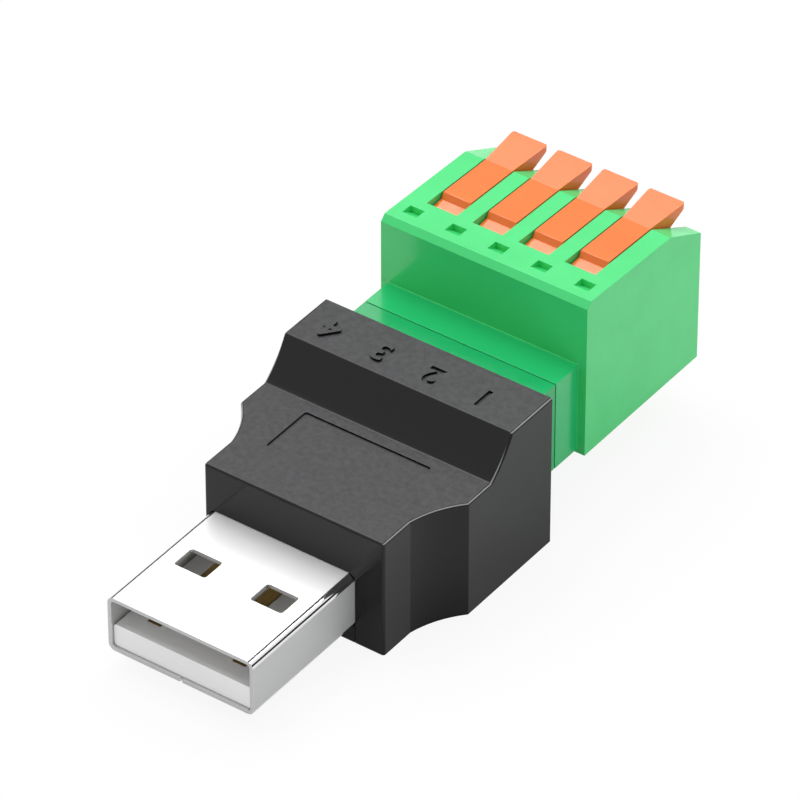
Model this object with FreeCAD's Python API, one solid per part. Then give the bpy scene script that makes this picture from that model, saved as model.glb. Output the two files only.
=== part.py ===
import FreeCAD, Part
import math
import os

Vector = FreeCAD.Vector

# Adapter from a USB-A plug to a pluggable four-way lever terminal block, in millimetres.
# Y runs from the plug's mouth to the wire entries, Z is up, and X is across the poles.
# The origin is on the plug's axis, at the housing's front face. While the pieces are made,
# x = 0 is the housing's middle plane, and save() moves them over to the plug's axis.

# Fits
slip = 0.05
running = 0.1
touch_gap = 0.05
past_face = 1.0
same_point = 1e-6

# Folded steel shell of the plug
plug_width = 12.0
plug_height = 4.5
plug_exposed = 11.2
plug_inside = 6.5
plug_offset = 1.0
shell_sheet = 0.3
shell_corner = 0.55
window_width = 2.6
window_length = 2.0
window_from_mouth = 5.2
window_spacing = 6.3
window_corner = 0.2
seam_gap = 0.08
seam_notch_half = 0.12
seam_notch_length = 0.25
dovetail_root = 0.9
dovetail_tip = 1.5
dovetail_length = 1.2
dovetail_from_mouth = 4.0
shell_tab_width = 1.2
shell_tab_reach = 1.9
shell_tab_below_board = 0.8

# Insulator and contacts of the plug
tongue_thickness = 1.84
tongue_recess = 0.2
mouth_depth = 9.4
insulator_edge = 0.2
contact_count = 4
contact_width = 1.0
contact_sheet = 0.2
contact_proud = 0.06
contact_spacing_inner = 2.0
contact_spacing_outer = 7.0
outer_contact_start = 1.75
inner_contact_start = 2.75
contact_bend = 0.25
contact_on_board = 1.1
contact_drop_before_board = 0.75

# Black housing
front_side_wall = 0.35
header_side_room = 0.3
straight_length = 3.0
shoulder_hollow = 0.3
room_above_board = 4.4
roof_wall = 1.1
slope_before_header = 1.0
slope_length = 2.35
slope_hollow = 0.22
under_plug = 1.25
housing_wall = 1.2
housing_edge = 0.2
panel_width = 10.4
panel_length = 4.5
panel_start = 3.95
panel_depth = 0.15
panel_corner = 0.2

# Cover let into the underside
cover_ledge = 0.6
cover_corner = 0.8
cover_latch_width = 2.4
cover_latch_thickness = 0.7
cover_latch_hook = 0.3
cover_latch_lip = 0.7
cover_latch_from_back = 3.9
rib_thickness = 1.0
rib_spacing = 9.0
rib_behind_header_front = 1.0

# Circuit board
board_thickness = 1.6
board_standoff = 1.05
board_side_room = 0.52
board_waist_before_header = 1.0
board_to_plug = 0.3
board_hole_clearance = 0.1
board_corner = 0.3

# Green header, fixed in the housing
pole_count = 4
pitch = 3.81
header_end = 2.205
header_height = 7.25
header_depth = 8.54
header_out = 2.54
header_side_wall = 0.85
header_floor = 1.0
header_roof = 1.1
header_back_wall = 2.0
header_slope_height = 4.6
header_slope_length = 2.3
key_width = 0.8
key_height = 0.5
key_offset = 0.95
pin_side = 1.0
pin_height = 3.6
pin_reach = 6.0
pin_point = 0.3
pin_bend = 0.9
pin_behind_header = 1.0
contact_to_pins = 1.0
pin_below_board = 0.9

# Green plug, pulled off to the back
collar_gap = 0.08
collar_length = 2.65
block_end = 2.835
block_drop = 0.3
block_length = 13.7
block_chamfer = 0.45
block_fall = 0.4
bevel_length = 3.75
bevel_drop = 1.85
test_hole_width = 1.17
test_hole_length = 0.95
test_hole_pitch = 3.55
test_hole_setback = 1.33
test_hole_shallow = 0.06
test_hole_deep = 0.55
slot_setback = 3.2
chamber_setback = 1.7
wire_space_start = 4.0
wire_space_floor = 2.0
entry_side = 2.4
entry_funnel = 0.3
entry_funnel_depth = 0.8
wire_stop_step = 0.3

# Terminal in the plug
bar_thickness = 0.5
bar_width = 2.0
bar_tip_width = 1.4
bar_tip_length = 1.2
fork_blade = 0.4
fork_height = 1.6
fork_free = 2.2
fork_root = 3.0
fork_lead_in = 0.8
fork_lead_spread = 0.15
fork_setback = 0.8

# Cage spring
spring_sheet = 0.3
spring_side_room = 0.15
spring_front_room = 0.45
spring_loop = 2.1
spring_shoulder_bend = 0.6
spring_foot_length = 4.7
spring_leg_from_bar_end = 0.5
spring_leg_below_bar = 1.0
spring_window_height = 2.5

# Lever
lever_width = 2.3
lever_tip_width = 2.95
lever_nose_radius = 0.9
lever_nose_edge = 0.28
lever_front_gap = 0.25
lever_above_spring = 0.3
lever_step_depth = 0.45
lever_step_tilt = 0.1
lever_step_length = 1.25
lever_step_slant = 0.3
lever_tab_length = 3.85
lever_tab_rise = 0.13
lever_tip_thickness = 0.35
lever_tip_round = 0.12
lever_belly_back = 2.05
lever_belly_depth = 1.2
lever_web_depth = 2.4
lever_foot_length = 1.7
lever_foot_height = 0.75
lever_foot_travel = 1.35
lever_foot_round = 0.5
lever_corner = 0.3
trunnion_radius = 0.55
trunnion_length = 0.4

# Widths that follow
plug_x = -plug_offset
inner_width = plug_width - 2 * shell_sheet
header_width = (pole_count - 1) * pitch + 2 * header_end
block_width = (pole_count - 1) * pitch + 2 * block_end
housing_width = header_width + 2 * (header_side_room + housing_wall)
housing_front_width = plug_width + 2 * (plug_offset + slip + front_side_wall)
inner_half = header_width / 2 + header_side_room
latch_half = inner_half - running
socket_half = header_width / 2 - header_side_wall
slot_width = lever_width + 2 * running
spring_width = slot_width - 2 * spring_side_room
spring_window_width = bar_tip_width + 2 * running

# Heights that follow
inner_height = plug_height - 2 * shell_sheet
tongue_top = -inner_height / 2 + tongue_thickness
housing_bottom = -plug_height / 2 - under_plug
cover_top = housing_bottom + under_plug
board_bottom = cover_top + board_standoff
board_top = board_bottom + board_thickness
header_bottom = board_top
header_top = header_bottom + header_height
low_top = board_top + room_above_board + housing_wall
high_top = header_top + slip + roof_wall
socket_bottom = header_bottom + header_floor
socket_top = header_top - header_roof
pin_z = header_bottom + pin_height
bar_bottom = pin_z + fork_height / 2
bar_top = bar_bottom + bar_thickness
spring_top = bar_top + spring_sheet + 2 * spring_loop
lever_foot_z = spring_top + touch_gap
slot_bottom = lever_foot_z - lever_foot_travel
pivot_z = spring_top + lever_above_spring + lever_nose_radius
block_bottom = header_bottom - block_drop
lever_web_z = lever_foot_z + lever_foot_height
block_top = lever_web_z + lever_web_depth
ridge_z = block_top - block_fall

# Places along Y that follow
mouth_y = -plug_exposed
board_front = plug_inside + board_to_plug
contact_drop_y = board_front - contact_drop_before_board
pin_drop_y = board_front + contact_on_board + contact_to_pins + pin_side / 2
header_front = pin_drop_y + pin_behind_header
header_back = header_front + header_depth
housing_length = header_back - header_out
board_back = housing_length - housing_wall - 2 * running
cavity_front = board_front - running
cavity_back = housing_length - housing_wall
shoulder_end = board_front
slope_start = header_front - slope_before_header
slope_end = slope_start + slope_length
socket_front = header_front + header_back_wall
nose_front = socket_front + running
fork_front = nose_front + fork_setback
fork_back = fork_front + fork_free + fork_root
collar_front = header_back + collar_gap
block_front = collar_front + collar_length
block_back = block_front + block_length
ridge_y = block_back - bevel_length
slot_front = block_front + slot_setback
pivot_y = slot_front + lever_front_gap + lever_nose_radius
chamber_front = block_front + chamber_setback
bow_y = chamber_front + spring_front_room + spring_sheet / 2
leg_y = bow_y + spring_loop + spring_foot_length
bar_back = leg_y + spring_leg_from_bar_end
chamber_back = bar_back + wire_stop_step

PLANES = {
    "plan": (lambda a, b: Vector(a, b, 0), Vector(0, 0, 1)),
    "side": (lambda a, b: Vector(0, a, b), Vector(1, 0, 0)),
    "front": (lambda a, b: Vector(a, 0, b), Vector(0, 1, 0)),
}


def edge_between(start, end, place):
    """A straight edge, or an arc that bows to its left by the third value of its end."""
    bow = end[2] if len(end) > 2 else 0
    a, b = place(*start[:2]), place(*end[:2])
    if not bow:
        return Part.LineSegment(a, b).toShape()
    across, along = end[0] - start[0], end[1] - start[1]
    length = math.hypot(across, along)
    middle_a = (start[0] + end[0]) / 2 - along / length * bow
    middle_b = (start[1] + end[1]) / 2 + across / length * bow
    return Part.Arc(a, place(middle_a, middle_b), b).toShape()


def prism(plane, points, start, end):
    """A closed outline in one of the three planes, extruded from start to end."""
    place, axis = PLANES[plane]
    points = [p for i, p in enumerate(points) if math.dist(p[:2], points[i - 1][:2]) > same_point]
    before = points[-1:] + points[:-1]
    wire = Part.Wire([edge_between(p, q, place) for p, q in zip(before, points)])
    solid = Part.Face(wire).extrude(axis * (end - start))
    return solid.translated(axis * start)


def box(x0, x1, y0, y1, z0, z1):
    return Part.makeBox(x1 - x0, y1 - y0, z1 - z0, Vector(x0, y0, z0))


def turn_at(before, at, after):
    """Directions into and out of a corner, and the signed turn between them."""
    into = (at[0] - before[0], at[1] - before[1])
    out = (after[0] - at[0], after[1] - at[1])
    into_length, out_length = math.hypot(*into), math.hypot(*out)
    into = (into[0] / into_length, into[1] / into_length)
    out = (out[0] / out_length, out[1] / out_length)
    turn = math.atan2(into[0] * out[1] - into[1] * out[0], into[0] * out[0] + into[1] * out[1])
    return into, out, turn


def rounded(corners):
    """An outline from corners (a, b, radius), with a tangent arc at each radius."""
    points = []
    for i, (a, b, radius) in enumerate(corners):
        if not radius:
            points.append((a, b))
            continue
        into, out, turn = turn_at(corners[i - 1], corners[i], corners[(i + 1) % len(corners)])
        back = radius * math.tan(abs(turn) / 2)
        bow = -math.copysign(radius * (1 - math.cos(turn / 2)), turn)
        points.append((a - into[0] * back, b - into[1] * back))
        points.append((a + out[0] * back, b + out[1] * back, bow))
    return points


def rectangle(a0, a1, b0, b1, radius=0):
    return rounded([(a0, b0, radius), (a1, b0, radius), (a1, b1, radius), (a0, b1, radius)])


def beside(a, b, direction, forward, left, bow):
    """A point moved forward along a direction and out to its left."""
    across, along = direction
    return (a + across * forward - along * left, b + along * forward + across * left, bow)


def band(path, thickness, bends):
    """The outline of a strip bent along a path, with each corner's bend radius at its middle line."""
    half = thickness / 2
    sides = {1: [], -1: []}
    for side, points in sides.items():
        for i, (a, b) in enumerate(path):
            if 0 < i < len(path) - 1:
                into, out, turn = turn_at(path[i - 1], path[i], path[i + 1])
                back = bends[i - 1] * math.tan(abs(turn) / 2)
                radius = bends[i - 1] - side * math.copysign(half, turn)
                bow = -math.copysign(radius * (1 - math.cos(turn / 2)), turn)
                points.append(beside(a, b, into, -back, side * half, 0))
                points.append(beside(a, b, out, back, side * half, bow))
            else:
                near = (path[0], path[1]) if i == 0 else (path[-2], path[-1])
                length = math.dist(*near)
                along = ((near[1][0] - near[0][0]) / length, (near[1][1] - near[0][1]) / length)
                points.append(beside(a, b, along, 0, side * half, 0))
    right = sides[-1]
    bows = [-p[2] for p in right[1:]] + [0]
    way_back = [(a, b, bow) for (a, b, _), bow in zip(right, bows)][::-1]
    return sides[1] + way_back


def pole_x(index):
    return ((pole_count - 1) / 2 - index) * pitch


def is_outer(index):
    return index in (0, contact_count - 1)


def contact_x(index):
    spacing = contact_spacing_outer if is_outer(index) else contact_spacing_inner
    side = 1 if index < contact_count / 2 else -1
    return plug_x + side * spacing / 2


def usb_shell():
    """One sheet folded round the plug, closed by a seam with a dovetail under the middle."""
    half_width, half_height = plug_width / 2, plug_height / 2
    outside = rectangle(plug_x - half_width, plug_x + half_width, -half_height, half_height, shell_corner)
    inside = rectangle(
        plug_x - inner_width / 2, plug_x + inner_width / 2,
        -inner_height / 2, inner_height / 2, shell_corner - shell_sheet,
    )
    shell = prism("front", outside, mouth_y, plug_inside)
    for side in (-1, 1):
        shell = shell.fuse(shell_tab(side))
    end = plug_inside + shell_tab_reach + past_face
    shell = shell.cut(prism("front", inside, mouth_y - past_face, end))
    window_start = mouth_y + window_from_mouth
    for side in (-1, 1):
        middle = plug_x + side * window_spacing / 2
        window = rectangle(
            middle - window_width / 2, middle + window_width / 2,
            window_start, window_start + window_length, window_corner,
        )
        shell = shell.cut(prism("plan", window, -plug_height, plug_height))
    return shell.cut(shell_seam()).removeSplitter()


def shell_tab(side):
    """A leg of the shell's side wall that drops through the board."""
    outer = plug_x + side * plug_width / 2
    inner = outer - side * shell_sheet
    top = plug_height / 2 - shell_corner
    end = plug_inside + shell_tab_reach
    leg = end - shell_tab_width
    bottom = board_bottom - shell_tab_below_board
    arm = board_top + slip
    outline = [
        (plug_inside, top), (end, top), (end, bottom), (leg, bottom), (leg, arm), (plug_inside, arm),
    ]
    return prism("side", outline, min(inner, outer), max(inner, outer))


def shell_seam():
    """The gap between the sheet's two edges, with its notch at the mouth."""
    tail_start = mouth_y + dovetail_from_mouth
    tail_end = tail_start + dovetail_length
    run = [
        (plug_x, mouth_y - past_face), (plug_x, tail_start), (plug_x + dovetail_root / 2, tail_start),
        (plug_x + dovetail_tip / 2, tail_end), (plug_x, tail_end), (plug_x, plug_inside + past_face),
    ]
    notch = [
        (plug_x - seam_notch_half, mouth_y), (plug_x, mouth_y + seam_notch_length),
        (plug_x + seam_notch_half, mouth_y),
    ]
    low, high = -plug_height / 2 - past_face, -plug_height / 2 + shell_corner
    seam = prism("plan", band(run, seam_gap, [seam_gap] * (len(run) - 2)), low, high)
    return seam.fuse(prism("plan", notch, low, high))


def contact_path(index):
    """The middle line of one contact in the YZ plane, from its tip to its end on the board."""
    start = mouth_y + (outer_contact_start if is_outer(index) else inner_contact_start)
    level = tongue_top + contact_proud - contact_sheet / 2
    tail = board_top + contact_sheet / 2
    end = board_front + contact_on_board
    return [(start, level), (contact_drop_y, level), (contact_drop_y, tail), (end, tail)]


def usb_contact(index):
    x = contact_x(index)
    path = contact_path(index)
    strip = band(path, contact_sheet, [contact_bend] * (len(path) - 2))
    return prism("side", strip, x - contact_width / 2, x + contact_width / 2)


def usb_insulator():
    """The tongue and its base, with a groove for each contact."""
    half = inner_width / 2 - slip
    low, high = -inner_height / 2 + slip, inner_height / 2 - slip
    root = mouth_y + mouth_depth
    tongue = rectangle(plug_x - half, plug_x + half, low, tongue_top, insulator_edge)
    base = rectangle(plug_x - half, plug_x + half, low, high, insulator_edge)
    solid = prism("front", tongue, mouth_y + tongue_recess, root)
    back = contact_drop_y - contact_sheet / 2 - slip
    solid = solid.fuse(prism("front", base, root, back))
    floor = tongue_top + contact_proud - contact_sheet
    width = contact_width / 2 + slip
    for index in range(contact_count):
        x = contact_x(index)
        start = contact_path(index)[0][0] - slip
        solid = solid.cut(box(x - width, x + width, start, root, floor, tongue_top + past_face))
        roof = floor + contact_sheet + slip
        solid = solid.cut(box(x - width, x + width, root, back + past_face, floor, roof))
    return solid.removeSplitter()


def housing_outline():
    """The housing in plan: narrow front, hollow shoulders, wide back."""
    front, wide = housing_front_width / 2, housing_width / 2
    return [
        (-front, 0), (front, 0), (front, straight_length), (wide, shoulder_end, shoulder_hollow),
        (wide, housing_length), (-wide, housing_length), (-wide, shoulder_end),
        (-front, straight_length, shoulder_hollow),
    ]


def housing_side():
    """The housing from the side: low front, hollow slope, high back."""
    return [
        (0, housing_bottom), (housing_length, housing_bottom), (housing_length, high_top),
        (slope_end, high_top), (slope_start, low_top, slope_hollow), (0, low_top),
    ]


def housing():
    body = prism("plan", housing_outline(), housing_bottom, high_top)
    body = body.common(prism("side", housing_side(), -housing_width, housing_width))
    edges = [e for e in body.Edges if e.BoundBox.ZMax > housing_bottom + housing_edge and not on_back(e)]
    body = body.makeFillet(housing_edge, edges)
    panel = rectangle(
        -panel_width / 2, panel_width / 2, panel_start, panel_start + panel_length, panel_corner,
    )
    body = body.cut(prism("plan", panel, low_top - panel_depth, high_top))
    body = body.cut(inner_space()).cut(plug_sleeve()).cut(header_opening())
    for side in (-1, 1):
        body = body.cut(latch_recess(side))
    return body.cut(cover_plate(slip)).removeSplitter()


def on_back(edge):
    return edge.BoundBox.YMin > housing_length - housing_edge


def inner_space():
    """The room for the board and the header, open to the cover."""
    low_roof = low_top - housing_wall
    roof = header_top + slip
    rise = header_front - housing_wall
    outline = [
        (cavity_front, housing_bottom), (cavity_back, housing_bottom), (cavity_back, roof),
        (header_front + header_slope_length - slip, roof), (rise, low_roof), (cavity_front, low_roof),
    ]
    return prism("side", outline, -inner_half, inner_half)


def plug_sleeve():
    """The channel that the plug's shell lies in, open to the cover."""
    half_width, half_height = plug_width / 2 + slip, plug_height / 2 + slip
    ring = rectangle(plug_x - half_width, plug_x + half_width, -half_height, half_height, shell_corner)
    start, end = -past_face, cavity_front + past_face
    below = box(plug_x - half_width, plug_x + half_width, start, end, housing_bottom - past_face, 0)
    return prism("front", ring, start, end).fuse(below)


def header_opening():
    half = header_width / 2 + slip
    start, end = cavity_back - past_face, housing_length + past_face
    return box(-half, half, start, end, housing_bottom - past_face, header_top + slip)


def latch_recess(side):
    """The catch for one of the cover's latches, in the housing's side wall."""
    depth = cover_latch_hook + running
    start, end = latch_start() - running, latch_start() + cover_latch_width + running
    low, high = latch_top() - cover_latch_lip - running, latch_top() + running
    recess = box(inner_half - past_face, inner_half + depth, start, end, low, high)
    return recess if side > 0 else recess.mirror(Vector(0, 0, 0), Vector(1, 0, 0))


def latch_start():
    return housing_length - cover_latch_from_back - cover_latch_width / 2


def latch_top():
    return header_bottom - running


def cover_plate(gap):
    """The flat of the cover, or with a gap the recess that it lies in."""
    half = inner_half + cover_ledge + gap
    front = cavity_front - cover_ledge - gap
    back = cavity_back + cover_ledge + gap
    outline = [
        (-half, front + cover_corner), (-half + cover_corner, front), (half - cover_corner, front),
        (half, front + cover_corner), (half, back), (-half, back),
    ]
    plate = prism("plan", outline, housing_bottom - gap, cover_top)
    step = plug_width / 2 + gap
    tongue = box(plug_x - step, plug_x + step, -gap, front + past_face, housing_bottom - gap, cover_top)
    sill = box(
        -header_width / 2 - gap, header_width / 2 + gap, back - past_face, housing_length + gap,
        housing_bottom - gap, cover_top,
    )
    return plate.fuse([tongue, sill])


def bottom_cover():
    """The cover, which the plug lies on, with a sill under the header, ribs and latches."""
    cover = cover_plate(0)
    half = header_width / 2
    cover = cover.fuse(box(-half, half, cavity_back, housing_length, housing_bottom, header_bottom))
    for side in (-1, 1):
        middle = side * rib_spacing / 2
        cover = cover.fuse(
            box(
                middle - rib_thickness / 2, middle + rib_thickness / 2,
                header_front + rib_behind_header_front, cavity_back, housing_bottom, board_bottom,
            )
        )
        cover = cover.fuse(cover_latch(side))
    return cover.removeSplitter()


def cover_latch(side):
    """A springy finger with a hook that snaps into the housing's side wall."""
    outer = latch_half
    inner = outer - cover_latch_thickness
    top = latch_top()
    hook = outer + cover_latch_hook
    outline = [
        (inner, housing_bottom), (outer, housing_bottom), (outer, top - cover_latch_lip),
        (hook, top - cover_latch_lip), (hook, top - cover_latch_lip / 2),
        (outer - cover_latch_hook, top), (inner, top),
    ]
    latch = prism("front", outline, latch_start(), latch_start() + cover_latch_width)
    return latch if side > 0 else latch.mirror(Vector(0, 0, 0), Vector(1, 0, 0))


def circuit_board():
    """The board, wide at the plug and narrow between the cover's latches."""
    wide = inner_half - board_side_room
    waist = latch_half - cover_latch_thickness - board_side_room
    step = header_front - board_waist_before_header
    outline = rounded([
        (-wide, board_front, board_corner), (wide, board_front, board_corner),
        (wide, step, 0), (waist, step, 0),
        (waist, board_back, board_corner), (-waist, board_back, board_corner),
        (-waist, step, 0), (-wide, step, 0),
    ])
    board = prism("plan", outline, board_bottom, board_top)
    for index in range(pole_count):
        radius = pin_side / math.sqrt(2) + board_hole_clearance
        hole = Part.makeCylinder(radius, board_thickness, Vector(pole_x(index), pin_drop_y, board_bottom))
        board = board.cut(hole)
    for side in (-1, 1):
        middle = plug_x + side * (plug_width - shell_sheet) / 2
        half = shell_sheet / 2 + board_hole_clearance
        end = plug_inside + shell_tab_reach + board_hole_clearance
        start = end - shell_tab_width - 2 * board_hole_clearance
        low, high = board_bottom - past_face, board_top + past_face
        board = board.cut(box(middle - half, middle + half, start, end, low, high))
    return board


def header_shroud():
    """The header's green body: a box open to the back, with key grooves in its roof."""
    half = header_width / 2
    outline = [
        (header_front, header_bottom), (header_back, header_bottom), (header_back, header_top),
        (header_front + header_slope_length, header_top),
        (header_front, header_bottom + header_slope_height),
    ]
    body = prism("side", outline, -half, half)
    mouth = header_back + past_face
    body = body.cut(box(-socket_half, socket_half, socket_front, mouth, socket_bottom, socket_top))
    for index in range(pole_count):
        groove = key_width / 2 + running
        x = pole_x(index) - key_offset
        low, high = socket_top - past_face, socket_top + key_height
        body = body.cut(box(x - groove, x + groove, socket_front, mouth, low, high))
        side = pin_side / 2
        x = pole_x(index)
        start, end = header_front - past_face, socket_front + past_face
        body = body.cut(box(x - side, x + side, start, end, pin_z - side, pin_z + side))
    return body.removeSplitter()


def header_pin(index):
    """A square pin, pointed in the socket and bent down through the board."""
    x = pole_x(index)
    side = pin_side / 2
    tip = socket_front + pin_reach
    foot = board_bottom - pin_below_board
    path = [(tip, pin_z), (pin_drop_y, pin_z), (pin_drop_y, foot)]
    pin = prism("side", band(path, pin_side, [pin_bend]), x - side, x + side)
    ends = [e for e in pin.Edges if e.BoundBox.YMin > tip - pin_point or e.BoundBox.ZMax < foot + pin_point]
    return pin.makeChamfer(pin_point, ends)


def top_at(y):
    """The height of the block's top, which falls a little from its front edge to the ridge."""
    return block_top - block_fall * (y - block_front) / (ridge_y - block_front)


def plug_block():
    """The block above and behind the collar, seen from the side, across its full width."""
    half = block_width / 2
    edge = block_front + block_chamfer
    outline = [
        (block_front, block_bottom), (block_back, block_bottom), (block_back, ridge_z - bevel_drop),
        (ridge_y, ridge_z), (edge, top_at(edge)), (block_front, top_at(edge) - block_chamfer),
    ]
    return prism("side", outline, -half, half)


def plug_nose():
    """The nose in the socket and the collar that continues the header."""
    half, collar_half = socket_half - running, header_width / 2
    end = block_front + past_face
    nose = box(-half, half, nose_front, end, socket_bottom + running, socket_top - running)
    nose = nose.fuse(box(-collar_half, collar_half, collar_front, end, header_bottom, header_top))
    for index in range(pole_count):
        x = pole_x(index) - key_offset
        nose = nose.fuse(
            box(
                x - key_width / 2, x + key_width / 2, nose_front, block_front,
                socket_top - 2 * running, socket_top + key_height - running,
            )
        )
    return nose


def test_hole(index):
    """A small pocket near the front edge of the top, with a floor that slopes down to the back."""
    x = (index - pole_count / 2) * test_hole_pitch
    start = block_front + test_hole_setback
    end = start + test_hole_length
    outline = [
        (start, top_at(start) - test_hole_shallow), (end, top_at(end) - test_hole_deep),
        (end, block_top + past_face), (start, block_top + past_face),
    ]
    return prism("side", outline, x - test_hole_width / 2, x + test_hole_width / 2)


def pole_space(index):
    """Everything cut out of the plug's body for one pole."""
    x = pole_x(index)
    half = slot_width / 2
    flare = (lever_tip_width - lever_width) / 2 / lever_tab_length
    end = block_back + past_face
    wide = half + flare * (end - ridge_y)
    outline = [
        (x - half, slot_front), (x + half, slot_front), (x + half, ridge_y), (x + wide, end),
        (x - wide, end), (x - half, ridge_y),
    ]
    slot = prism("plan", outline, slot_bottom, block_top + past_face)
    chamber = box(x - half, x + half, chamber_front, chamber_back, bar_bottom, pivot_z)
    wire_space = box(
        x - half, x + half, chamber_front + wire_space_start - chamber_setback, chamber_back,
        block_bottom + wire_space_floor, bar_top,
    )
    way = bar_width / 2 + slip
    channel = box(
        x - way, x + way, nose_front - past_face, chamber_front + past_face,
        pin_z - fork_height / 2 - slip, bar_top + slip,
    )
    trunnions = Part.makeCylinder(
        trunnion_radius + slip, slot_width + 2 * trunnion_length,
        Vector(x - half - trunnion_length, pivot_y, pivot_z), Vector(1, 0, 0),
    )
    return slot.fuse([chamber, wire_space, channel, trunnions, wire_entry(x)])


def wire_entry(x):
    """A square way in for one wire, with a funnel at the back face."""
    z = bar_bottom - entry_side / 2
    half = entry_side / 2
    wide = half + entry_funnel
    start, end = chamber_back - past_face, block_back + past_face
    way = box(x - half, x + half, start, end, z - half, z + half)
    mouth = square_wire(x, z, wide, block_back)
    throat = square_wire(x, z, half, block_back - entry_funnel_depth)
    return way.fuse(Part.makeLoft([mouth, throat], True))


def square_wire(x, z, half, y):
    corners = [(x - half, z - half), (x + half, z - half), (x + half, z + half), (x - half, z + half)]
    return Part.makePolygon([Vector(a, y, b) for a, b in corners + corners[:1]])


def plug_housing():
    """The green plug's one moulding: nose, collar and block, with a space for each pole."""
    body = plug_block().fuse(plug_nose()).removeSplitter()
    for index in range(pole_count + 1):
        body = body.cut(test_hole(index))
    for index in range(pole_count):
        body = body.cut(pole_space(index))
    return body.removeSplitter()


def plug_contact(index):
    """A fork that grips the header's pin, and the bar that the wire is clamped against."""
    x = pole_x(index)
    half, tip_half = bar_width / 2, bar_tip_width / 2
    bar_front, tip_start = fork_front + fork_free, bar_back - bar_tip_length
    outline = [
        (x - half, bar_front), (x + half, bar_front), (x + half, tip_start), (x + tip_half, tip_start),
        (x + tip_half, bar_back), (x - tip_half, bar_back), (x - tip_half, tip_start),
        (x - half, tip_start),
    ]
    bar = prism("plan", outline, bar_bottom, bar_top)
    for side in (-1, 1):
        inner = pin_side / 2 + slip
        outer = inner + fork_blade
        blade = [
            (x + side * inner, fork_back), (x + side * inner, fork_front + fork_lead_in),
            (x + side * (inner + fork_lead_spread), fork_front), (x + side * outer, fork_front),
            (x + side * outer, fork_back),
        ]
        bar = bar.fuse(prism("plan", blade, pin_z - fork_height / 2, bar_bottom))
    return bar.removeSplitter()


def clamp_spring(index):
    """A cage spring: foot on the bar, loop over it, and a windowed leg that the bar's tip goes through."""
    x = pole_x(index)
    half = spring_width / 2
    foot_z = bar_top + spring_sheet / 2
    top_z = foot_z + 2 * spring_loop
    foot_end = leg_y - spring_sheet
    leg_end = bar_bottom - spring_leg_below_bar
    path = [(foot_end, foot_z), (bow_y, foot_z), (bow_y, top_z), (leg_y, top_z), (leg_y, leg_end)]
    outline = band(path, spring_sheet, [spring_loop, spring_loop, spring_shoulder_bend])
    spring = prism("side", outline, x - half, x + half)
    window = spring_window_width / 2
    floor = bar_bottom - touch_gap
    start, end = leg_y - spring_sheet, leg_y + past_face
    cut = box(x - window, x + window, start, end, floor, floor + spring_window_height)
    return spring.cut(cut).removeSplitter()


def lever_profile():
    """The lever from the side: nose at the pivot, step, arm, tab, belly and foot."""
    nose_y = pivot_y - lever_nose_radius
    step_end = nose_y + lever_step_length
    step_z = top_at(step_end) - lever_step_depth
    arm_front = step_end + lever_step_slant
    tip_y = ridge_y + lever_tab_length
    tip_z = ridge_z + lever_tab_rise
    belly_y, belly_z = ridge_y + lever_belly_back, ridge_z - lever_belly_depth
    foot_back = leg_y + spring_sheet / 2
    foot_front = foot_back - lever_foot_length
    low_z = pivot_z - lever_nose_radius
    nose_back = pivot_y + lever_nose_radius
    return rounded([
        (nose_y, step_z - lever_step_tilt, lever_nose_edge), (nose_y, low_z, lever_nose_radius),
        (nose_back, low_z, lever_foot_round), (nose_back + lever_nose_radius, lever_web_z, lever_foot_round),
        (foot_front, lever_web_z, lever_foot_round), (foot_front, lever_foot_z, lever_foot_round),
        (foot_back, lever_foot_z, lever_foot_round), (belly_y, belly_z, lever_foot_round),
        (tip_y, tip_z - lever_tip_thickness, lever_tip_round), (tip_y, tip_z, lever_tip_round),
        (ridge_y, ridge_z, 0), (arm_front, top_at(arm_front), lever_tip_round),
        (step_end, step_z, 0),
    ])


def lever(index):
    """An arm in its slot with a finger tab that widens over the block's back."""
    x = pole_x(index)
    half, tip_half = lever_width / 2, lever_tip_width / 2
    tip_y = ridge_y + lever_tab_length
    front = pivot_y - lever_nose_radius
    solid = prism("side", lever_profile(), x - lever_tip_width, x + lever_tip_width)
    plan = rounded([
        (x - half, front, 0), (x + half, front, 0), (x + half, ridge_y, 0),
        (x + tip_half, tip_y, lever_corner), (x - tip_half, tip_y, lever_corner), (x - half, ridge_y, 0),
    ])
    solid = solid.common(prism("plan", plan, block_bottom, block_top + past_face))
    trunnion = Part.makeCylinder(
        trunnion_radius, slot_width + 2 * (trunnion_length - slip),
        Vector(x - slot_width / 2 - trunnion_length + slip, pivot_y, pivot_z), Vector(1, 0, 0),
    )
    return solid.fuse(trunnion).removeSplitter()


def save(name, shape):
    """Write one piece, moved so that the plug's axis is the Y axis."""
    shape = shape.translated(Vector(plug_offset, 0, 0))
    solids = len(shape.Solids)
    print(f"{name}: {solids} solid, valid {shape.isValid()}, {shape.Volume:.2f} mm3")
    shape.exportStep(os.path.join("parts", f"{name}.step"))


def main():
    os.makedirs("parts", exist_ok=True)
    save("usb_shell", usb_shell())
    save("usb_insulator", usb_insulator())
    for index in range(contact_count):
        save(f"usb_contact_{index + 1}", usb_contact(index))
    save("adapter_housing", housing())
    save("bottom_cover", bottom_cover())
    save("circuit_board", circuit_board())
    save("header_shroud", header_shroud())
    save("plug_housing", plug_housing())
    for index in range(pole_count):
        save(f"header_pin_{index + 1}", header_pin(index))
        save(f"plug_contact_{index + 1}", plug_contact(index))
        save(f"clamp_spring_{index + 1}", clamp_spring(index))
        save(f"lever_{index + 1}", lever(index))


main()
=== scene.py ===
import math

import bmesh
import bpy
from mathutils import Matrix, Vector


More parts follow.
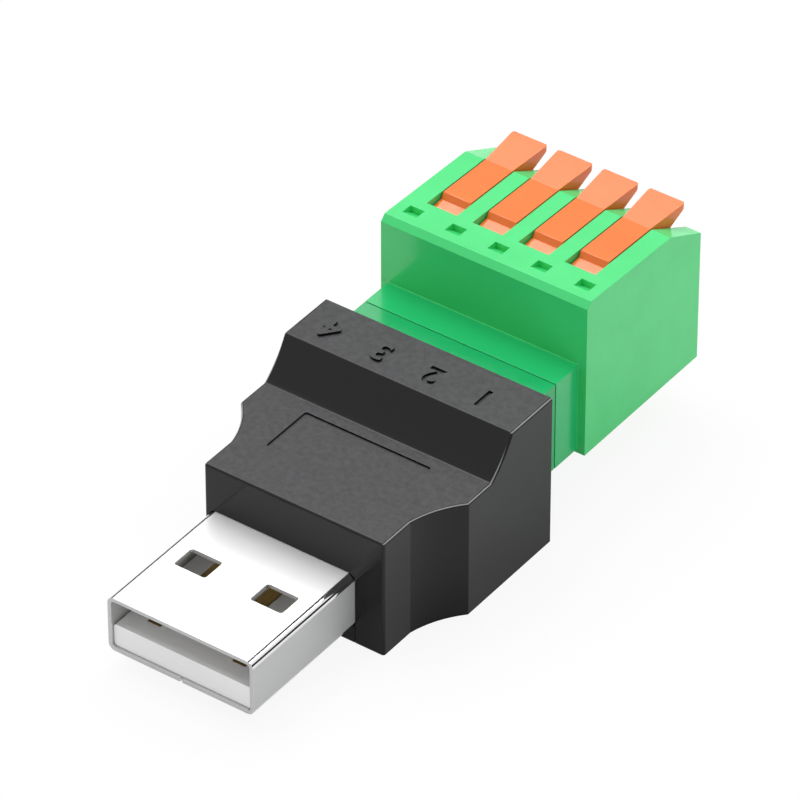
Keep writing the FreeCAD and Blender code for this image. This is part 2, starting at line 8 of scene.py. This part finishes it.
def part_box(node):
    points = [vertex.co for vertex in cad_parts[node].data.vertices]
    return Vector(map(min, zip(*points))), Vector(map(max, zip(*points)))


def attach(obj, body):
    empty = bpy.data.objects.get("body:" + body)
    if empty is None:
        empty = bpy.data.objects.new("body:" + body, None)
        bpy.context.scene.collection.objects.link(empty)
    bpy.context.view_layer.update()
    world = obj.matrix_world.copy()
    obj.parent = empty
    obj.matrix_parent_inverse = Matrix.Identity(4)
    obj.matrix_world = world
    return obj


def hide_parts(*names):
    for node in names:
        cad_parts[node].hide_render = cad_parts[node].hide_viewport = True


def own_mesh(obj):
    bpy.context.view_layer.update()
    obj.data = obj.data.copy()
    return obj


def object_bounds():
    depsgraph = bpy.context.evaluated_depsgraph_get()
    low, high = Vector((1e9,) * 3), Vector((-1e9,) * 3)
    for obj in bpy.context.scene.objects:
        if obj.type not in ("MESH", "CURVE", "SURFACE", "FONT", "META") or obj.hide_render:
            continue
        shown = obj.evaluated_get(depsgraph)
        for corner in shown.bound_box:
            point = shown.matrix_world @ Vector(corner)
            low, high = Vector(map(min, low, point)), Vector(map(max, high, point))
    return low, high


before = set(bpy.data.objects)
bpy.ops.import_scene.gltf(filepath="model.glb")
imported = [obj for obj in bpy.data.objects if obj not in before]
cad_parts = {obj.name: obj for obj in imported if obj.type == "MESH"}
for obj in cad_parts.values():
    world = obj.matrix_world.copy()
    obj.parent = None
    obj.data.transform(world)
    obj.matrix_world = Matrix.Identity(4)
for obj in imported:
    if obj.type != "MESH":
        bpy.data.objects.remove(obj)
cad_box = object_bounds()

MM = 0.001

# Camera, solved from the edges of the black housing in an 800 x 800 frame
CAMERA_TARGET = Vector((1.0, 12.07, 7.08)) * MM
CAMERA_AZIMUTH = math.radians(35.832)
CAMERA_ELEVATION = math.radians(37.874)
CAMERA_DISTANCE = 474.86 * MM
CAMERA_LENS = 318.44
CAMERA_SENSOR = 36.0
CAMERA_CLIP_START = 0.1 * CAMERA_DISTANCE
CAMERA_CLIP_END = 20 * CAMERA_DISTANCE

# Light: a soft box above and behind, one above the left, two small lamps for the edges, a weak one
# for the sheen of the lever tabs, and the pale room
KEY_DIRECTION = Vector((-0.2925, 0.4055, 0.866))
KEY_LEVEL = 0.50
KEY_SIZE = 0.40
TOP_DIRECTION = Vector((-0.46, -0.05, 0.886))
TOP_LEVEL = 0.32
TOP_SIZE = 0.30
SIDE_DIRECTION = Vector((0.66, -0.08, 0.75))
SIDE_LEVEL = 0.07
SIDE_SIZE = 0.045
RIM_DIRECTION = Vector((0.30, 0.64, 0.707))
RIM_LEVEL = 0.10
RIM_SIZE = 0.08
SHEEN_DIRECTION = Vector((-0.46, 0.545, 0.70))
SHEEN_LEVEL = 0.025
SHEEN_SIZE = 0.10
ROOM_LEVEL = 0.5
BOX_DISTANCE = 0.5
FLOOR_SIZE = 4.0
FLOOR_SHADE = 0.86
FLOOR_WHITE_SHARE = 0.9
FLOOR_GLOSS_SHARE = 0.25

# Dark cloth around the set and a dark card behind it, which only glossy surfaces show, so that
# bright edges get dark lines
CLOTH_DISTANCE = 0.7
CLOTH_HEIGHT_BACK = 0.34
CLOTH_HEIGHT_FRONT = 0.01
CLOTH_SEGMENTS = 48
CARD_DIRECTION = Vector((-0.06, 0.64, 0.766))
CARD_DISTANCE = 0.4
CARD_WIDTH = 0.16
CARD_HEIGHT = 0.1
DARK_SHADE = 0.02

# Colours, linear
BLACK = (0.003, 0.003, 0.0031, 1)
# A lighter grey for the upper edges of the black housing, a painted highlight
BLACK_EDGE_HIGHLIGHT = (0.28, 0.28, 0.285, 1)
BLACK_GRAINED = (0.045, 0.045, 0.047, 1)
BLACK_GRAINED_LIGHT = (0.066, 0.066, 0.069, 1)
GREEN = (0.056, 0.70, 0.20, 1)
GREEN_DEEP = (0.050, 0.66, 0.182, 1)
# A deeper green for the plug's neck, a painted shade of the block
NECK_SHADED_GREEN = (0.020, 0.54, 0.17, 1)
# The header's greens are darkened, a painted shade of the block behind it
HEADER_SHADED_GREEN = (0.011, 0.44, 0.138, 1)
HEADER_SHADED_GREEN_DEEP = (0.010, 0.42, 0.13, 1)
ORANGE = (0.90, 0.18, 0.016, 1)
ORANGE_DEEP = (0.86, 0.165, 0.013, 1)
# Painted light on the shell: a lighter top and darker sides
STEEL_LIT_TOP = (0.94, 0.94, 0.94, 1)
STEEL_SHADED_SIDE = (0.58, 0.585, 0.59, 1)
# A lighter colour for the shell's bends, a painted highlight
STEEL_BEND_HIGHLIGHT = (0.82, 0.82, 0.82, 1)
# The colour inside the shell, a painted shade
STEEL_INSIDE_SHADE = (0.60, 0.60, 0.595, 1)
# The contacts' gold is darkened towards brown, a painted shade
SHADED_GOLD = (0.42, 0.29, 0.10, 1)
TIN = (0.72, 0.71, 0.68, 1)
SPRING = (0.55, 0.55, 0.55, 1)
IVORY = (0.97, 0.97, 0.972, 1)
IVORY_DEEP = (0.95, 0.95, 0.952, 1)
BOARD_GREEN = (0.012, 0.10, 0.04, 1)
BOARD_GREEN_LIGHT = (0.02, 0.14, 0.055, 1)
WHITE = (1, 1, 1, 1)

# Roughness
BLACK_SMOOTH = 0.14
BLACK_ROUGH = 0.6
PLASTIC_GLOSS = 0.2
PLASTIC_GLOSS_SPREAD = 0.05
IVORY_GLOSS = 0.45
BOARD_GLOSS = 0.3
SATIN_LOW = 0.36
SATIN_HIGH = 0.46
SPRING_LOW = 0.25
SPRING_HIGH = 0.4
GOLD_GLOSS = 0.12
TIN_GLOSS = 0.3
PLATED_SPREAD = 0.3
BEND_POLISH = 0.25

BLACK_IOR = 1.36
STEEL_METALLIC = 0.15

# Noise, in cells to the millimetre, and the part of its range in which most of it lies
BLACK_GRAIN = 4.5
BLACK_PATCHES = 2.2
PLASTIC_FLOW = (0.12, 0.3, 0.3)
PLASTIC_GLOSS_CELLS = 1.5
ORANGE_PEEL = 3.0
ROLLING_LINES = (9.0, 0.25, 9.0)
PLATED_CELLS = 4.0
PLATED_LINES = (2.0, 0.5, 2.0)
BOARD_WEAVE = (3.0, 3.0, 0.5)
NARROW_RANGE = (0.35, 0.65)
WIDE_RANGE = (0.3, 0.7)

# Heights of the bumps, in millimetres
BLACK_BUMP = 0.03
PLASTIC_BUMP = 0.004
STEEL_BUMP = 0.0008
PLATED_BUMP = 0.001
BOARD_BUMP = 0.005

# How steep a face may be: the two ends of each change, as the normal's part along an axis
LEVEL_TOP = (0.97, 0.99)
SHELL_TOP = (0.9, 0.97)
EDGE_RISEN = (0.5, 0.6)
EDGE_TILTED = (0.82, 0.9)
EDGE_SIDEWAYS = (0.25, 0.4)
ON_BEND = (0.985, 0.996)

POLES = 4

# Numbers engraved beside the poles, read from the wire side
MARK_FIRST_X = -6.95 * MM
MARK_LAST_X = 5.7 * MM
MARK_Y = 13.8 * MM
MARK_HEIGHT = 1.8 * MM
MARK_DEPTH = 0.2 * MM
MARK_WEIGHT = 0.05 * MM
FONT_DIGIT_SHARE = 0.7

# The black housing's middle plane
HOUSING_AXIS_X = 1.0 * MM

# The green plug's neck ends at the block's front face; in front of it the green is darkened, a painted
# shade of the block
NECK_END_Y = 21.6 * MM
NECK_FADE = 0.05 * MM

# Half the width and height of the space inside the steel shell, less its bends; inside it the steel gets a
# painted shade
INSIDE_HALF_WIDTH = 5.75 * MM
INSIDE_HALF_HEIGHT = 2.0 * MM

# Fine roundings of edges that the solids leave sharp
SHELL_EDGE = 0.035 * MM
PLASTIC_EDGE = 0.06 * MM
WELD = 0.0001 * MM
FLAT_ANGLE = math.radians(0.4)
SHARP_ANGLE = math.radians(25)
EDGE_SEGMENTS = 2


def math_node(tree, operation, a, b=0.0):
    """The result of one Math node on sockets or numbers."""
    made = tree.nodes.new("ShaderNodeMath")
    made.operation = operation
    for socket, value in zip(made.inputs, (a, b)):
        if isinstance(value, bpy.types.NodeSocket):
            tree.links.new(value, socket)
        else:
            socket.default_value = value
    return made.outputs[0]


def add_object(name, data):
    made = bpy.data.objects.new(name, data)
    bpy.context.scene.collection.objects.link(made)
    return made


class Finish:
    """One procedural material, and a short way to add its nodes."""

    def __init__(self, name, color, roughness, metallic=0.0, ior=1.5):
        self.material = bpy.data.materials.new(name)
        self.material.use_nodes = True
        self.tree = self.material.node_tree
        self.shader = self.tree.nodes["Principled BSDF"]
        self.shader.inputs["Base Color"].default_value = color
        self.shader.inputs["Roughness"].default_value = roughness
        self.shader.inputs["Metallic"].default_value = metallic
        self.shader.inputs["IOR"].default_value = ior
        self.place = self.node("ShaderNodeTexCoord").outputs["Object"]

    def node(self, kind, **inputs):
        made = self.tree.nodes.new(kind)
        for name, value in inputs.items():
            self.feed(made.inputs[name.replace("_", " ")], value)
        return made

    def feed(self, socket, value):
        if isinstance(value, bpy.types.NodeSocket):
            self.tree.links.new(value, socket)
        else:
            socket.default_value = value

    def stretched(self, per_mm):
        """The place on the piece in millimetres, scaled by a different number of cells along each axis."""
        mapping = self.node("ShaderNodeMapping", Vector=self.place)
        mapping.inputs["Scale"].default_value = [n / MM for n in per_mm]
        return mapping.outputs["Vector"]

    def noise(self, per_mm, detail=3.0, roughness=0.5):
        """Noise with so many cells to the millimetre, or so many along each axis."""
        cells = per_mm if isinstance(per_mm, tuple) else (per_mm,) * 3
        made = self.node("ShaderNodeTexNoise", Vector=self.stretched(cells), Scale=1.0)
        made.inputs["Detail"].default_value = detail
        made.inputs["Roughness"].default_value = roughness
        return made.outputs["Fac"]

    def between(self, factor, low, high, ends=(0.0, 1.0)):
        """A number that goes from low to high as the factor goes from one end to the other."""
        made = self.node("ShaderNodeMapRange", Value=factor)
        made.inputs["From Min"].default_value = ends[0]
        made.inputs["From Max"].default_value = ends[1]
        made.inputs["To Min"].default_value = low
        made.inputs["To Max"].default_value = high
        return made.outputs["Result"]

    def mix(self, factor, a, b):
        made = self.tree.nodes.new("ShaderNodeMix")
        made.data_type = "RGBA"
        self.feed(made.inputs[0], factor)
        self.feed(made.inputs[6], a)
        self.feed(made.inputs[7], b)
        return made.outputs[2]

    def math(self, operation, a, b=0.0):
        return math_node(self.tree, operation, a, b)

    def split(self, vector):
        return self.node("ShaderNodeSeparateXYZ", Vector=vector).outputs

    def normal(self):
        return self.split(self.node("ShaderNodeNewGeometry").outputs["Normal"])

    def facing_up(self, ends):
        """1 where the surface faces up, 0 where it doesn't."""
        return self.between(self.normal()["Z"], 0.0, 1.0, ends)

    def upper_edge(self):
        """1 on the bend between a top and a side face, 0 elsewhere."""
        normal = self.normal()
        risen = self.between(normal["Z"], 0.0, 1.0, EDGE_RISEN)
        tilted = self.between(normal["Z"], 1.0, 0.0, EDGE_TILTED)
        sideways = self.between(self.math("ABSOLUTE", normal["X"]), 0.0, 1.0, EDGE_SIDEWAYS)
        return self.math("MULTIPLY", self.math("MULTIPLY", risen, tilted), sideways)

    def bend(self):
        """0 where the surface faces straight along an axis, and 1 on a bend."""
        normal = self.normal()
        largest = 0.0
        for axis in "XYZ":
            largest = self.math("MAXIMUM", largest, self.math("ABSOLUTE", normal[axis]))
        return self.between(largest, 1.0, 0.0, ON_BEND)

    def bump(self, height, distance_mm):
        made = self.node("ShaderNodeBump", Height=height)
        made.inputs["Distance"].default_value = distance_mm * MM
        self.feed(self.shader.inputs["Normal"], made.outputs["Normal"])

    def color(self, value):
        self.feed(self.shader.inputs["Base Color"], value)

    def roughness(self, value):
        self.feed(self.shader.inputs["Roughness"], value)


def black_plastic():
    """Moulded plastic: spark-eroded on the level tops, smooth elsewhere, with a painted highlight on the
    upper edges.
    """
    finish = Finish("black_plastic", BLACK, BLACK_SMOOTH, ior=BLACK_IOR)
    up = finish.facing_up(LEVEL_TOP)
    grain = finish.noise(BLACK_GRAIN, 4.0, 0.6)
    patches = finish.noise(BLACK_PATCHES, 4.0, 0.65)
    finish.roughness(finish.between(up, BLACK_SMOOTH, BLACK_ROUGH))
    patchy = finish.between(patches, 0.0, 1.0, NARROW_RANGE)
    grained = finish.mix(patchy, BLACK_GRAINED, BLACK_GRAINED_LIGHT)
    # The upper edges between the tops and the sides get a painted highlight
    finish.color(finish.mix(finish.upper_edge(), finish.mix(up, BLACK, grained), BLACK_EDGE_HIGHLIGHT))
    finish.bump(finish.math("MULTIPLY", grain, up), BLACK_BUMP)
    return finish.material


def moulded(name, color, deep, roughness, neck_shade=None):
    """Coloured moulded plastic with a faint flow pattern and a fine orange peel, and a painted shade on
    the neck where one is given.
    """
    finish = Finish(name, color, roughness)
    flow = finish.between(finish.noise(PLASTIC_FLOW, 2.0), 0.0, 1.0, NARROW_RANGE)
    whole = finish.mix(flow, color, deep)
    # A neck colour, where given, is a painted shade
    if neck_shade:
        y = finish.split(finish.place)["Y"]
        on_neck = finish.between(y, 1.0, 0.0, (NECK_END_Y - NECK_FADE, NECK_END_Y))
        whole = finish.mix(on_neck, whole, neck_shade)
    finish.color(whole)
    low, high = roughness - PLASTIC_GLOSS_SPREAD, roughness + PLASTIC_GLOSS_SPREAD
    finish.roughness(finish.between(finish.noise(PLASTIC_GLOSS_CELLS), low, high, WIDE_RANGE))
    finish.bump(finish.noise(ORANGE_PEEL), PLASTIC_BUMP)
    return finish.material


def shell_steel():
    """Folded sheet: satin where it is flat, with fine rolling lines, and polished on its bends; a painted
    lighter top and darker sides, a painted highlight on the bends and a painted shade inside.
    """
    finish = Finish("shell_steel", STEEL_SHADED_SIDE, SATIN_HIGH)
    bend = finish.bend()
    lines = finish.noise(ROLLING_LINES, 3.0, 0.6)
    # The lighter top and darker sides are painted light
    flat = finish.mix(finish.facing_up(SHELL_TOP), STEEL_SHADED_SIDE, STEEL_LIT_TOP)
    # The bends get a painted highlight
    outside = finish.mix(bend, flat, STEEL_BEND_HIGHLIGHT)
    place = finish.split(finish.place)
    across = finish.math("LESS_THAN", finish.math("ABSOLUTE", place["X"]), INSIDE_HALF_WIDTH)
    upright = finish.math("LESS_THAN", finish.math("ABSOLUTE", place["Z"]), INSIDE_HALF_HEIGHT)
    # Inside the shell the colour is a painted shade
    finish.color(finish.mix(finish.math("MULTIPLY", across, upright), outside, STEEL_INSIDE_SHADE))
    satin = finish.between(lines, SATIN_LOW, SATIN_HIGH, WIDE_RANGE)
    finish.roughness(finish.math("MULTIPLY", satin, finish.between(bend, 1.0, BEND_POLISH)))
    finish.feed(finish.shader.inputs["Metallic"], finish.between(bend, STEEL_METALLIC, 1.0))
    finish.bump(lines, STEEL_BUMP)
    return finish.material


def spring_steel():
    """Rolled sheet: fine lines along its length, with a roughness that varies a little."""
    finish = Finish("spring_steel", SPRING, SPRING_LOW, metallic=1.0)
    lines = finish.noise(ROLLING_LINES, 3.0, 0.6)
    finish.roughness(finish.between(lines, SPRING_LOW, SPRING_HIGH, WIDE_RANGE))
    finish.bump(lines, STEEL_BUMP)
    return finish.material


def plated(name, color, roughness):
    """A plated metal whose polish varies a little."""
    finish = Finish(name, color, roughness, metallic=1.0)
    low, high = roughness * (1 - PLATED_SPREAD), roughness * (1 + PLATED_SPREAD)
    finish.roughness(finish.between(finish.noise(PLATED_CELLS), low, high, WIDE_RANGE))
    finish.bump(finish.noise(PLATED_LINES), PLATED_BUMP)
    return finish.material


def board_material():
    """Solder mask over a fine weave."""
    finish = Finish("board_material", BOARD_GREEN, BOARD_GLOSS)
    weave = finish.noise(BOARD_WEAVE, 2.0)
    finish.color(finish.mix(weave, BOARD_GREEN, BOARD_GREEN_LIGHT))
    finish.bump(weave, BOARD_BUMP)
    return finish.material


def dress(names, material):
    """Give CAD nodes one material."""
    for name in names:
        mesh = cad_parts[name].data
        mesh.materials.clear()
        mesh.materials.append(material)


def numbered(stem):
    """The names of the CAD nodes that start with the stem."""
    return [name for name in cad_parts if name.startswith(stem)]


def digit_cutter(text, x):
    """One solid digit, turned to be read from the wire side, that reaches down into the top face."""
    curve = bpy.data.curves.new("digit_" + text, "FONT")
    curve.body = text
    curve.size = MARK_HEIGHT / FONT_DIGIT_SHARE
    curve.align_x = "CENTER"
    curve.align_y = "CENTER"
    curve.offset = MARK_WEIGHT
    curve.extrude = MARK_DEPTH
    shape = add_object("digit_" + text, curve)
    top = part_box("adapter_housing")[1].z
    shape.matrix_world = Matrix.Translation((x, MARK_Y, top)) @ Matrix.Rotation(math.pi, 4, "Z")
    return shape


def rounded_copy(node, body, width):
    """A copy of a solid whose sharp edges are broken by a fine rounding, in the solid's place."""
    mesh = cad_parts[node].data.copy()
    work = bmesh.new()
    work.from_mesh(mesh)
    bmesh.ops.remove_doubles(work, verts=work.verts, dist=WELD)
    bmesh.ops.dissolve_limit(
        work, angle_limit=FLAT_ANGLE, use_dissolve_boundaries=False, verts=work.verts, edges=work.edges,
    )
    work.to_mesh(mesh)
    work.free()
    piece = add_object(node + "_rounded", mesh)
    bevel = piece.modifiers.new("edges", "BEVEL")
    bevel.width = width
    bevel.segments = EDGE_SEGMENTS
    bevel.limit_method = "ANGLE"
    bevel.angle_limit = SHARP_ANGLE
    bevel.harden_normals = True
    level = piece.modifiers.new("flat_faces", "WEIGHTED_NORMAL")
    level.keep_sharp = True
    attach(piece, body)
    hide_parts(node)


def pressed_spring(number):
    """A copy of a clamp spring, on the plug's body in the spring's place; in the object its lever flattens
    it onto the bar.
    """
    node = f"clamp_spring_{number}"
    piece = add_object(node + "_pressed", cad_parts[node].data.copy())
    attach(piece, "plug")
    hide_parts(node)
    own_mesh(piece)


def engraved_housing(material):
    """The housing with a number cut beside each pole."""
    piece = add_object("housing_engraved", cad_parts["adapter_housing"].data.copy())
    cutters = []
    for i in range(POLES):
        x = MARK_FIRST_X + (MARK_LAST_X - MARK_FIRST_X) * i / (POLES - 1) + HOUSING_AXIS_X
        cutters.append(digit_cutter(str(POLES - i), x))
    depsgraph = bpy.context.evaluated_depsgraph_get()
    for shape in cutters:
        solid = bpy.data.meshes.new_from_object(shape.evaluated_get(depsgraph))
        solid.transform(shape.matrix_world)
        tool = add_object(shape.name + "_solid", solid)
        cut = piece.modifiers.new("cut_" + shape.name, "BOOLEAN")
        cut.operation = "DIFFERENCE"
        cut.solver = "EXACT"
        cut.object = tool
        bpy.context.view_layer.update()
    depsgraph = bpy.context.evaluated_depsgraph_get()
    carved = bpy.data.meshes.new_from_object(piece.evaluated_get(depsgraph))
    piece.modifiers.clear()
    piece.data = carved
    for shape in cutters:
        bpy.data.objects.remove(bpy.data.objects[shape.name + "_solid"])
        bpy.data.objects.remove(shape)
    carved.materials.clear()
    carved.materials.append(material)
    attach(piece, "adapter")
    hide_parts("adapter_housing")


def dark_surface(name, corners, faces):
    """A dark surface of the set that is only seen in glossy surfaces."""
    mesh = bpy.data.meshes.new(name)
    mesh.from_pydata(corners, [], faces)
    surface = add_object(name, mesh)
    material = bpy.data.materials.new(name)
    material.use_nodes = True
    shader = material.node_tree.nodes["Principled BSDF"]
    shader.inputs["Base Color"].default_value = (DARK_SHADE, DARK_SHADE, DARK_SHADE, 1)
    shader.inputs["Roughness"].default_value = 1.0
    mesh.materials.append(material)
    surface.visible_camera = False
    surface.visible_diffuse = False
    surface.visible_shadow = False


def dark_cloth():
    """A low ring of dark cloth, which falls away towards the front."""
    bottom = cad_box[0].z
    corners, faces = [], []
    for i in range(CLOTH_SEGMENTS):
        turn = 2 * math.pi * i / CLOTH_SEGMENTS
        x, y = math.sin(turn) * CLOTH_DISTANCE, math.cos(turn) * CLOTH_DISTANCE
        share = (1 - math.cos(turn)) / 2
        height = CLOTH_HEIGHT_BACK + (CLOTH_HEIGHT_FRONT - CLOTH_HEIGHT_BACK) * share
        corners += [(x, y, bottom), (x, y, bottom + height)]
        a, b = 2 * i, 2 * ((i + 1) % CLOTH_SEGMENTS)
        faces.append((a, b, b + 1, a + 1))
    dark_surface("dark_cloth", corners, faces)


def dark_card():
    """A dark card that hangs behind the object."""
    away = CARD_DIRECTION.normalized()
    across = away.cross(Vector((0, 0, 1))).normalized()
    up = across.cross(away)
    middle = CAMERA_TARGET + away * CARD_DISTANCE
    corners = []
    for a, b in ((-1, -1), (1, -1), (1, 1), (-1, 1)):
        corners.append(middle + across * a * CARD_WIDTH / 2 + up * b * CARD_HEIGHT / 2)
    dark_surface("dark_card", corners, [(0, 1, 2, 3)])


def soft_box(name, direction, level, size):
    """A square lamp that lights a face turned towards it with the given level."""
    data = bpy.data.lights.new(name, "AREA")
    data.shape = "SQUARE"
    data.size = size
    data.energy = level * math.pi ** 2 * BOX_DISTANCE ** 2
    lamp = add_object(name, data)
    away = direction.normalized()
    lamp.location = CAMERA_TARGET + away * BOX_DISTANCE
    lamp.rotation_mode = "QUATERNION"
    lamp.rotation_quaternion = away.to_track_quat("Z", "Y")


def seen_share(tree, direct, mirrored):
    """One number for what the camera sees directly or through glass, another for what it sees in
    gloss and metal, and 0 for the light on the object."""
    path = tree.nodes.new("ShaderNodeLightPath")
    shares = {"Is Camera Ray": direct, "Is Transmission Ray": direct, "Is Glossy Ray": mirrored}
    total = 0.0
    for kind, share in shares.items():
        total = math_node(tree, "MAXIMUM", total, math_node(tree, "MULTIPLY", path.outputs[kind], share))
    return total


def room():
    """A pale room: white where it is seen, and softer as light."""
    world = bpy.data.worlds.new("room")
    bpy.context.scene.world = world
    world.use_nodes = True
    tree = world.node_tree
    background = tree.nodes["Background"]
    background.inputs["Color"].default_value = WHITE
    strength = math_node(tree, "MAXIMUM", seen_share(tree, 1.0, 1.0), ROOM_LEVEL)
    tree.links.new(strength, background.inputs["Strength"])


def floor():
    """A white floor that keeps a faint shadow."""
    half = FLOOR_SIZE / 2
    z = cad_box[0].z
    mesh = bpy.data.meshes.new("floor")
    corners = [(-half, -half, z), (half, -half, z), (half, half, z), (-half, half, z)]
    mesh.from_pydata(corners, [], [(0, 1, 2, 3)])
    plane = add_object("floor", mesh)
    material = bpy.data.materials.new("floor_white")
    material.use_nodes = True
    tree = material.node_tree
    tree.nodes.remove(tree.nodes["Principled BSDF"])
    lit = tree.nodes.new("ShaderNodeBsdfDiffuse")
    lit.inputs["Color"].default_value = (FLOOR_SHADE, FLOOR_SHADE, FLOOR_SHADE, 1)
    white = tree.nodes.new("ShaderNodeEmission")
    white.inputs["Strength"].default_value = 1.0
    both = tree.nodes.new("ShaderNodeMixShader")
    tree.links.new(seen_share(tree, FLOOR_WHITE_SHARE, FLOOR_GLOSS_SHARE), both.inputs[0])
    tree.links.new(lit.outputs[0], both.inputs[1])
    tree.links.new(white.outputs[0], both.inputs[2])
    tree.links.new(both.outputs[0], tree.nodes["Material Output"].inputs["Surface"])
    mesh.materials.append(material)


def camera():
    data = bpy.data.cameras.new("camera")
    data.sensor_width = CAMERA_SENSOR
    data.lens = CAMERA_LENS
    data.clip_start = CAMERA_CLIP_START
    data.clip_end = CAMERA_CLIP_END
    eye = add_object("camera", data)
    level = math.cos(CAMERA_ELEVATION)
    back = Vector((
        math.sin(CAMERA_AZIMUTH) * level, -math.cos(CAMERA_AZIMUTH) * level, math.sin(CAMERA_ELEVATION),
    ))
    eye.location = CAMERA_TARGET + back * CAMERA_DISTANCE
    eye.rotation_mode = "QUATERNION"
    eye.rotation_quaternion = (-back).to_track_quat("-Z", "Y")
    bpy.context.scene.camera = eye


bpy.context.scene.view_settings.view_transform = "Standard"
camera()
room()
floor()
soft_box("key", KEY_DIRECTION, KEY_LEVEL, KEY_SIZE)
soft_box("top", TOP_DIRECTION, TOP_LEVEL, TOP_SIZE)
soft_box("side", SIDE_DIRECTION, SIDE_LEVEL, SIDE_SIZE)
soft_box("rim", RIM_DIRECTION, RIM_LEVEL, RIM_SIZE)
soft_box("sheen", SHEEN_DIRECTION, SHEEN_LEVEL, SHEEN_SIZE)
dark_cloth()
dark_card()

black = black_plastic()
dress(["adapter_housing", "bottom_cover"], black)
dress(["plug_housing"], moulded("plug_green", GREEN, GREEN_DEEP, PLASTIC_GLOSS, neck_shade=NECK_SHADED_GREEN))
# The header's darker green is a painted shade
dress(["header_shroud"], moulded("header_green", HEADER_SHADED_GREEN, HEADER_SHADED_GREEN_DEEP, PLASTIC_GLOSS))
dress(numbered("lever_"), moulded("orange_plastic", ORANGE, ORANGE_DEEP, PLASTIC_GLOSS))
dress(["usb_shell"], shell_steel())
dress(numbered("clamp_spring_"), spring_steel())
# The contacts' darkened gold is a painted shade
dress(numbered("usb_contact_"), plated("contact_gold", SHADED_GOLD, GOLD_GLOSS))
dress(numbered("header_pin_") + numbered("plug_contact_"), plated("tinned", TIN, TIN_GLOSS))
dress(["usb_insulator"], moulded("ivory_plastic", IVORY, IVORY_DEEP, IVORY_GLOSS))
dress(["circuit_board"], board_material())
rounded_copy("usb_shell", "adapter", SHELL_EDGE)
rounded_copy("plug_housing", "plug", PLASTIC_EDGE)
rounded_copy("header_shroud", "adapter", PLASTIC_EDGE)
for number in range(1, POLES + 1):
    rounded_copy(f"lever_{number}", f"lever_{number}", PLASTIC_EDGE)
    pressed_spring(number)
engraved_housing(black)
